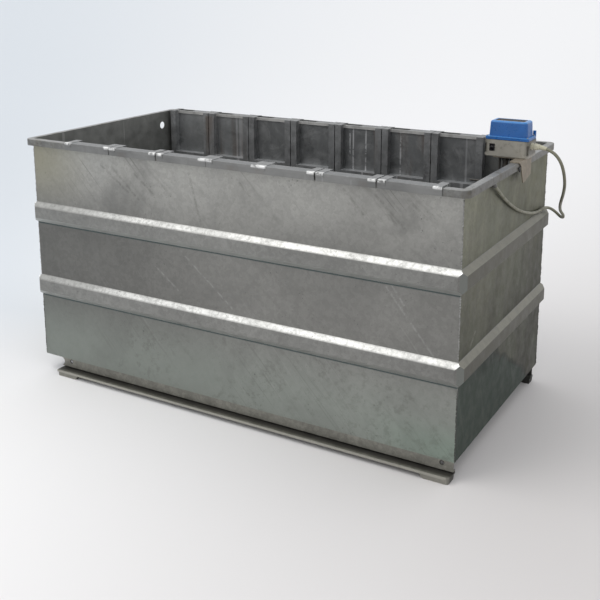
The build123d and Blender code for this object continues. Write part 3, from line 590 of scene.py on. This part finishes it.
def plain_zinc(name, tint, rough=(0.42, 0.6), metallic=0.75, depth=1.0, shade_side=None):
    """Zinc with nothing but its own clouds and dirt, and painted shade towards one side when
    asked.
    """
    s = Shader(name)
    colour, crystal, mottle, fine = zinc_body(s, tint, 1.2)
    # painted shade towards one end of an axis
    if shade_side:
        axis, lit_end, shaded_end = shade_side
        soil_and_shade = s.level(s.axis(axis), lit_end, shaded_end, 0.0, 0.85)
        colour = s.mix(soil_and_shade, colour, (0.045, 0.048, 0.042))
    dirt = s.level(s.noise(19.0, 5.0, 0.65), 0.50, 0.75, 0.0, 0.45)
    colour = s.mix(dirt, colour, tuple(0.55 * c for c in tint))
    roughness = s.level(mottle, 0.25, 0.75, *rough)
    normal = zinc_normal(s, crystal, mottle, fine, depth)
    return s.surface(colour, Metallic=metallic, Roughness=roughness, Normal=normal)


# The rails' holes as (X, Z), and the top of their outer flange
RAIL_HOLES = ((-0.677, 0.051), (0.761, 0.051))
FLANGE_TOP = 0.029


def base_zinc():
    """The rails and pads: painted shade on the flange, holes and far foot; a painted pale edge.
    """
    s = Shader("zinc_base")
    colour, crystal, mottle, fine = zinc_body(s, RAIL_TINT, 1.3)
    dirt = s.level(s.noise(19.0, 5.0, 0.65), 0.50, 0.75, 0.0, 0.45)
    colour = s.mix(dirt, colour, (0.115, 0.110, 0.095))
    depth = s.math("ABSOLUTE", s.axis("Y"))
    flange = s.level(s.axis("Z"), FLANGE_TOP, FLANGE_TOP - 0.005)
    # painted shade on the flange next to the web
    shade = s.product(flange, s.level(depth, 0.412, 0.4275, 1.0, 0.0))
    colour = s.mix(s.product(shade, 0.85), colour, (0.050, 0.048, 0.042))
    # painted highlight along the flange's outer edge
    edge = s.product(flange, s.level(depth, 0.4262, 0.4285))
    colour = s.mix(s.product(edge, 0.6), colour, (0.46, 0.45, 0.40))
    # painted shade in and around the holes
    for x, z in RAIL_HOLES:
        across = s.math("SUBTRACT", s.axis("X"), x)
        upward = s.math("SUBTRACT", s.axis("Z"), z)
        away = s.node("ShaderNodeCombineXYZ", {0: across, 2: upward})
        radius = s.node("ShaderNodeVectorMath", {0: away.outputs[0]}, operation="LENGTH")
        grime_and_shade = s.level(radius.outputs["Value"], 0.0060, 0.0090, 1.0, 0.0)
        colour = s.mix(s.product(grime_and_shade, 0.85), colour, (0.015, 0.015, 0.014))
    # painted shade over the far foot, under the tank
    far_foot = s.level(s.axis("X"), 0.66, 0.76, 0.25, 0.90)
    far_foot = s.product(s.level(s.axis("Y"), 0.0, 0.3), far_foot)
    colour = s.mix(far_foot, colour, (0.040, 0.042, 0.037))
    rough = s.level(mottle, 0.25, 0.75, 0.42, 0.6)
    normal = zinc_normal(s, crystal, mottle, fine)
    return s.surface(colour, Metallic=0.7, Roughness=rough, Normal=normal)


# ---------------------------------------------------------------- plastics and the rest
PLASTIC_GRAIN = 900.0


def moulded_normal(shader, depth=0.00008):
    """A moulded surface: a fine grain over a slight waviness."""
    normal = shader.bump(shader.noise(PLASTIC_GRAIN, 2.0, 0.5), depth, 0.5)
    return shader.bump(shader.noise(24.0, 2.0, 0.5), 0.0004, 0.4, normal)


def moulded(name, colour, dirt, rough=(0.38, 0.5)):
    """Moulded plastic: a fine grain, faint clouds and dirt, more of it on what faces up."""
    s = Shader(name)
    clouds = s.level(s.noise(30.0, 4.0, 0.6), 0.3, 0.7, 0.93, 1.06)
    body = s.shade(colour, clouds)
    up = s.level(s.axis("Z", s.normal), 0.5, 1.0, 0.35, 1.0)
    grime_and_shade = s.level(s.noise(55.0, 5.0, 0.7), 0.5, 0.75, 0.0, 0.5)
    body = s.mix(s.product(grime_and_shade, up), body, dirt)
    roughness = s.level(s.noise(80.0, 3.0, 0.6), 0.3, 0.7, *rough)
    normal = moulded_normal(s)
    return s.surface(body, Roughness=roughness, Normal=normal)


def dark_sheath():
    """Oxidised heater sheath with a band of scale."""
    s = Shader("heater_sheath")
    scale = s.noise(60.0, 5.0, 0.7, s.moved((1, 1, 0.25)))
    colour = s.mix(s.level(scale, 0.4, 0.7), (0.020, 0.020, 0.020), (0.11, 0.10, 0.085))
    rough = s.level(scale, 0.3, 0.7, 0.30, 0.6)
    return s.surface(colour, Metallic=0.6, Roughness=rough, Normal=s.bump(scale, 0.0004, 0.6))


def cable_sheath():
    """The lead's sheath: satin, handled, a little dirty."""
    s = Shader("lead_sheath")
    dirt = s.level(s.noise(35.0, 5.0, 0.7), 0.42, 0.72, 0.0, 0.7)
    colour = s.mix(dirt, (0.185, 0.180, 0.130), (0.085, 0.083, 0.060))
    normal = s.bump(s.noise(420.0, 3.0, 0.6), 0.00012, 0.5)
    return s.surface(colour, Roughness=s.level(dirt, 0.0, 0.6, 0.42, 0.62), Normal=normal)


def box_plastic():
    """The grey-beige box: grubby, with painted shade in the wells at its corners, under the lid.
    """
    s = Shader("box_grey")
    low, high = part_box("box_base")
    clouds = s.level(s.noise(30.0, 4.0, 0.6), 0.3, 0.7, 0.92, 1.08)
    body = s.shade((0.262, 0.247, 0.212), clouds)
    middle = s.level(s.noise(14.0, 3.0, 0.5), 0.35, 0.65, 0.0, 0.30)
    body = s.mix(middle, body, (0.33, 0.315, 0.28))
    grime_and_shade = s.level(s.noise(55.0, 5.0, 0.7), 0.48, 0.72, 0.0, 0.65)
    body = s.mix(grime_and_shade, body, (0.125, 0.115, 0.090))
    # painted shade in the wells at the corners
    for corner, side in ((low[0], 1), (high[0], -1)):
        away = s.product(s.math("SUBTRACT", s.axis("X"), corner), float(side))
        well = s.product(
            s.level(away, 0.0, 0.016, 0.75, 0.0),
            s.level(s.axis("Z"), low[2] + 0.004, low[2] + 0.012),
        )
        body = s.mix(well, body, (0.085, 0.080, 0.066))
    roughness = s.level(s.noise(80.0, 3.0, 0.6), 0.3, 0.7, 0.40, 0.55)
    normal = moulded_normal(s)
    return s.surface(body, Roughness=roughness, Normal=normal)


def lid_plastic():
    """The blue lid: painted light where it faces up, partly over its curved edges."""
    s = Shader("lid_blue")
    clouds = s.level(s.noise(26.0, 4.0, 0.6), 0.3, 0.7, 0.90, 1.08)
    body = s.shade((0.010, 0.098, 0.325), clouds)
    # painted light on what faces up
    up = s.level(s.axis("Z", s.normal), 0.12, 0.75)
    body = s.mix(s.product(up, 0.75), body, (0.045, 0.235, 0.560))
    scuffs = s.level(s.noise(1.0, 4.0, 0.7, s.moved((40, 40, 160))), 0.60, 0.72, 0.0, 0.28)
    body = s.mix(scuffs, body, (0.12, 0.27, 0.50))
    dust = s.level(s.noise(70.0, 5.0, 0.7), 0.48, 0.75, 0.0, 0.22)
    level_top = s.level(s.axis("Z", s.normal), 0.55, 0.9)
    body = s.mix(s.product(dust, level_top), body, (0.30, 0.34, 0.38))
    roughness = s.level(s.noise(80.0, 3.0, 0.6), 0.3, 0.7, 0.26, 0.40)
    normal = moulded_normal(s, 0.00006)
    return s.surface(body, Roughness=roughness, Normal=normal)


def dark_window():
    """Smoked plastic, matt with fine scratches."""
    s = Shader("window_dark")
    haze = s.level(s.noise(60.0, 4.0, 0.7), 0.35, 0.7, 0.0, 0.5)
    colour = s.mix(haze, (0.045, 0.036, 0.032), (0.080, 0.068, 0.060))
    normal = s.bump(s.noise(500.0, 2.0, 0.5), 0.00005, 0.5)
    return s.surface(colour, Roughness=0.6, Specular_IOR_Level=0.12, Normal=normal)


def board():
    """A coated circuit board with pale tracks."""
    s = Shader("board_green")
    tracks = s.level(s.cells(220.0, "Distance"), 0.02, 0.06, 1.0, 0.0)
    colour = s.mix(s.product(tracks, 0.6), (0.012, 0.10, 0.04), (0.10, 0.30, 0.14))
    return s.surface(colour, Roughness=0.32, Normal=s.bump(tracks, 0.00005, 0.5))


# ---------------------------------------------------------------- dressing the CAD nodes
def make_materials():
    """Every material, by the record's slot names."""
    return {
        "zinc_long_wall": long_wall_zinc(),
        "zinc_end_wall": end_wall_zinc(),
        "zinc_rib": rib_zinc(),
        "zinc_rim": rim_zinc(),
        "zinc_frame": frame_zinc(),
        "zinc_floor": plain_zinc("zinc_floor", (0.13, 0.135, 0.135)),
        "zinc_weld": plain_zinc(
            "zinc_weld", (0.33, 0.33, 0.32), (0.34, 0.5), 0.8, 2.0, shade_side=("Z", 0.34, 0.22)
        ),
        "zinc_base": base_zinc(),
        "bracket_zinc": plain_zinc("bracket_zinc", (0.255, 0.220, 0.172), (0.45, 0.6), 0.5),
        "screw_steel": plain_zinc("screw_steel", (0.30, 0.30, 0.30), (0.3, 0.45), 0.9, 0.3),
        "box_grey": box_plastic(),
        "lid_blue": lid_plastic(),
        "window_dark": dark_window(),
        "seal_rubber": moulded(
            "seal_rubber", (0.012, 0.012, 0.012), (0.06, 0.06, 0.055), (0.6, 0.75)
        ),
        "switch_black": moulded(
            "switch_black", (0.010, 0.009, 0.010), (0.08, 0.08, 0.08), (0.22, 0.32)
        ),
        "board_green": board(),
        "component_black": moulded("component_black", (0.012, 0.012, 0.012), (0.05, 0.05, 0.05)),
        "terminal_grey": moulded("terminal_grey", (0.20, 0.22, 0.20), (0.1, 0.1, 0.1)),
        "heater_sheath": dark_sheath(),
        "gland_ivory": moulded(
            "gland_ivory", (0.50, 0.48, 0.37), (0.22, 0.20, 0.14), (0.35, 0.5)
        ),
        "relief_rubber": moulded(
            "relief_rubber", (0.46, 0.44, 0.33), (0.2, 0.19, 0.14), (0.5, 0.65)
        ),
        "lead_sheath": cable_sheath(),
        "elbow_grey": moulded("elbow_grey", (0.065, 0.065, 0.06), (0.12, 0.12, 0.1)),
    }


def dress_cad_nodes(materials):
    """Gives every CAD node its slot's material."""
    for part in frame["record"]["subparts"]:
        slots = nodes[part["node"]].data.materials
        for i in range(len(slots)):
            slots[i] = materials[part["material_slot"]]


SHEET_EDGE = 0.0006
CASE_EDGE = 0.0007
CASE_NODES = (
    "box_base",
    "rocker",
    "switch_body",
    "rim_bracket",
    "front_base_rail",
    "back_base_rail",
)


def soften(name, width):
    """Rounds a CAD node's edges by a modifier, as a folded or moulded edge is rounded."""
    piece = nodes[name]
    weld = piece.modifiers.new("weld", "WELD")
    weld.merge_threshold = 1e-5
    bevel = piece.modifiers.new("bevel", "BEVEL")
    bevel.width = width
    bevel.segments = 2
    bevel.limit_method = "ANGLE"
    bevel.angle_limit = math.radians(35)
    bevel.harden_normals = True


# ---------------------------------------------------------------- the lead
LEAD_DIAMETER = 0.010
LEAD_ROUTE = [
    (0.879, 0.095, 0.903),
    (0.898, 0.095, 0.8955),
    (0.913, 0.098, 0.882),
    (0.926, 0.104, 0.859),
    (0.931, 0.121, 0.825),
    (0.927, 0.155, 0.783),
    (0.910, 0.208, 0.739),
    (0.888, 0.268, 0.698),
    (0.873, 0.320, 0.667),
    (0.868, 0.354, 0.645),
    (0.872, 0.375, 0.630),
    (0.869, 0.391, 0.615),
    (0.855, 0.404, 0.614),
    (0.837, 0.413, 0.626),
    (0.819, 0.402, 0.641),
    (0.808, 0.366, 0.649),
    (0.8066, 0.300, 0.648),
    (0.8066, 0.220, 0.661),
    (0.8066, 0.140, 0.682),
    (0.8066, 0.060, 0.709),
    (0.8068, -0.015, 0.742),
    (0.8076, -0.082, 0.776),
    (0.8092, -0.140, 0.810),
    (0.810, -0.178, 0.833),
]


def make_lead(materials):
    """The supply lead, from the gland on the box down and back to behind the rim's lip."""
    data = bpy.data.curves.new("lead", "CURVE")
    data.dimensions = "3D"
    data.bevel_depth = LEAD_DIAMETER / 2
    data.bevel_resolution = 5
    data.resolution_u = 10
    data.use_fill_caps = True
    spline = data.splines.new("NURBS")
    spline.points.add(len(LEAD_ROUTE) - 1)
    for point, place in zip(spline.points, LEAD_ROUTE):
        point.co = (*place, 1.0)
    spline.order_u = 3
    spline.use_endpoint_u = True
    lead = bpy.data.objects.new("lead", data)
    bpy.context.scene.collection.objects.link(lead)
    data.materials.append(materials["lead_sheath"])
    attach(lead, TANK)
    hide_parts("supply_lead")


# ---------------------------------------------------------------- weld beads
BEAD_RADIUS = 0.0022
BEAD_STEP = 0.0042
BEAD_SUNK = 0.0006
BEAD_SIDES = 8


def tube(name, path, radii, slot, materials):
    """A closed tube along a list of places with a radius at each, riding on the tank."""
    sides = BEAD_SIDES
    form = bmesh.new()
    rings = []
    for i, (place, radius) in enumerate(zip(path, radii)):
        ahead = path[min(i + 1, len(path) - 1)] - path[max(i - 1, 0)]
        facing = ahead.to_track_quat("Z", "Y")
        ring = []
        for k in range(sides):
            angle = 2 * math.pi * k / sides
            offset = facing @ Vector((math.cos(angle), math.sin(angle), 0)) * radius
            ring.append(form.verts.new(place + offset))
        rings.append(ring)
    for one, other in zip(rings, rings[1:]):
        for k in range(sides):
            form.faces.new((one[k], one[(k + 1) % sides], other[(k + 1) % sides], other[k]))
    form.faces.new(reversed(rings[0]))
    form.faces.new(rings[-1])
    return finish_piece(name, form, slot, materials)


def finish_piece(name, form, slot, materials):
    """A smooth-shaded object made from a bmesh, riding on the tank with its slot's material."""
    mesh = bpy.data.meshes.new(name)
    bmesh.ops.recalc_face_normals(form, faces=form.faces)
    form.to_mesh(mesh)
    form.free()
    for face in mesh.polygons:
        face.use_smooth = True
    piece = bpy.data.objects.new(name, mesh)
    bpy.context.scene.collection.objects.link(piece)
    mesh.materials.append(materials[slot])
    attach(piece, TANK)
    return piece


def weld_bead(name, start, end, materials, seed):
    """A stack-of-coins weld between two places: the radius swells and shrinks along it."""
    radius = BEAD_RADIUS
    rng = random.Random(seed)
    start = Vector(start)
    run = Vector(end) - start
    count = max(4, round(run.length / BEAD_STEP))
    path = []
    radii = []
    swell = 1.0
    for i in range(count + 1):
        swell += 0.45 * (rng.uniform(0.45, 1.55) - swell)
        wobble = Vector([rng.uniform(-0.30, 0.30) * radius for _ in range(3)])
        ripple = 1.0 if i % 2 else 0.80
        taper = 1.0
        if i in (0, count):
            wobble = Vector()
            taper = 0.45
        path.append(start + run * (i / count) + wobble)
        radii.append(radius * swell * ripple * taper)
    return tube(name, path, radii, "zinc_weld", materials)


def make_welds(materials):
    """Beads up the tank's outside corners, in the three spans that the ribs leave."""
    wall_low, wall_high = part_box("front_wall")
    x = wall_high[0] - BEAD_SUNK
    y = -wall_low[1] - BEAD_SUNK
    rim_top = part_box("rim_front")[1][2]
    levels = []
    for rib in ("lower_rib_front", "upper_rib_front"):
        low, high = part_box(rib)
        levels.append((low[2], high[2]))
    spans = [
        (wall_low[2] + 0.002, levels[0][0]),
        (levels[0][1], levels[1][0]),
        (levels[1][1], rim_top - 0.004),
    ]
    seed = 0
    for end, sx in (("left", -1), ("right", 1)):
        for side, sy in (("front", -1), ("back", 1)):
            place = (sx * x, sy * y)
            for i, (bottom, top) in enumerate(spans):
                seed += 1
                name = f"corner_bead_{end}_{side}_{i + 1}"
                weld_bead(name, (*place, bottom), (*place, top), materials, seed)


# ---------------------------------------------------------------- painted shadow beside the control bracket
SHADOW_WEDGE_THICKNESS = 0.003
SHADOW_WEDGE_SUNK = 0.0005
SHADOW_WEDGE_CORNERS = [
    (0.021, 0.8555),
    (-0.002, 0.8550),
    (0.001, 0.8510),
    (0.017, 0.8385),
    (0.021, 0.8400),
]


def make_shadow_wedge(materials):
    """A dark rubber wedge by the bracket plate, against the rim's lip: a painted shadow."""
    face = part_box("rim_right_end")[1][0]
    form = bmesh.new()
    inner = [form.verts.new((face - SHADOW_WEDGE_SUNK, y, z)) for y, z in SHADOW_WEDGE_CORNERS]
    outer = [form.verts.new((face + SHADOW_WEDGE_THICKNESS, y, z)) for y, z in SHADOW_WEDGE_CORNERS]
    form.faces.new(inner)
    form.faces.new(reversed(outer))
    for i in range(len(inner)):
        k = (i + 1) % len(inner)
        form.faces.new((inner[i], inner[k], outer[k], outer[i]))
    bmesh.ops.bevel(
        form, geom=form.edges[:], offset=0.0006, segments=2, affect="EDGES", profile=0.5
    )
    finish_piece("bracket_shadow_wedge", form, "seal_rubber", materials)


# ---------------------------------------------------------------- floor and light
FLOOR_HALF = 70.0
LIGHT_COLOUR = (1.0, 0.98, 0.95)
SKY_COLOUR = (0.97, 0.985, 1.0, 1.0)


def make_floor():
    """A pale floor, painted lighter in the middle, faintly blue to the left and warm to the
    right.
    """
    mesh = bpy.data.meshes.new("studio_floor")
    form = bmesh.new()
    bmesh.ops.create_grid(form, x_segments=1, y_segments=1, size=FLOOR_HALF)
    form.to_mesh(mesh)
    form.free()
    floor = bpy.data.objects.new("studio_floor", mesh)
    bpy.context.scene.collection.objects.link(floor)
    s = Shader("studio_floor")
    # painted light: a fan of brighter floor down the middle, darker to either side
    spread = s.math("ADD", s.math("ABSOLUTE", s.axis("Y")), 1.5)
    fan = s.math("DIVIDE", s.axis("X"), spread)
    colour = s.mix(s.level(fan, -0.2, -1.1), (0.87, 0.862, 0.866), (0.69, 0.725, 0.765))
    colour = s.mix(s.level(fan, -0.22, 0.60), colour, (0.665, 0.640, 0.634))
    # painted light: lighter towards the back
    colour = s.shade(colour, s.level(s.axis("Y"), -1.5, 5.0, 0.965, 1.06))
    mesh.materials.append(s.surface(colour, Roughness=0.85))


def make_light(name, place, aim, size, power):
    """A soft rectangular light turned towards a place."""
    data = bpy.data.lights.new(name, "AREA")
    data.shape = "RECTANGLE"
    data.size, data.size_y = size
    data.energy = power
    data.color = LIGHT_COLOUR
    light = bpy.data.objects.new(name, data)
    light.location = place
    toward = Vector(aim) - Vector(place)
    light.rotation_mode = "QUATERNION"
    light.rotation_quaternion = toward.to_track_quat("-Z", "Y")
    bpy.context.scene.collection.objects.link(light)


def make_lights():
    """A pale, slightly blue sky, a light over the front edge and a key light to the left."""
    world = bpy.data.worlds.new("studio")
    bpy.context.scene.world = world
    world.use_nodes = True
    background = world.node_tree.nodes["Background"]
    background.inputs["Color"].default_value = SKY_COLOUR
    background.inputs["Strength"].default_value = 1.0
    make_light("overhead", (-0.9, -1.3, 3.3), (-0.1, -0.4, 0.5), (2.6, 0.9), 26)
    make_light("key", (-2.6, -3.6, 3.0), (0.0, 0.0, 0.5), (2.2, 2.2), 18)
    bpy.context.scene.view_settings.view_transform = "Standard"


# ---------------------------------------------------------------- put it together
make_camera()
materials = make_materials()
dress_cad_nodes(materials)
make_lead(materials)
make_welds(materials)
make_shadow_wedge(materials)
for name in FRAMES:
    soften(name, SHEET_EDGE)
for name in CASE_NODES:
    soften(name, CASE_EDGE)
make_floor()
make_lights()
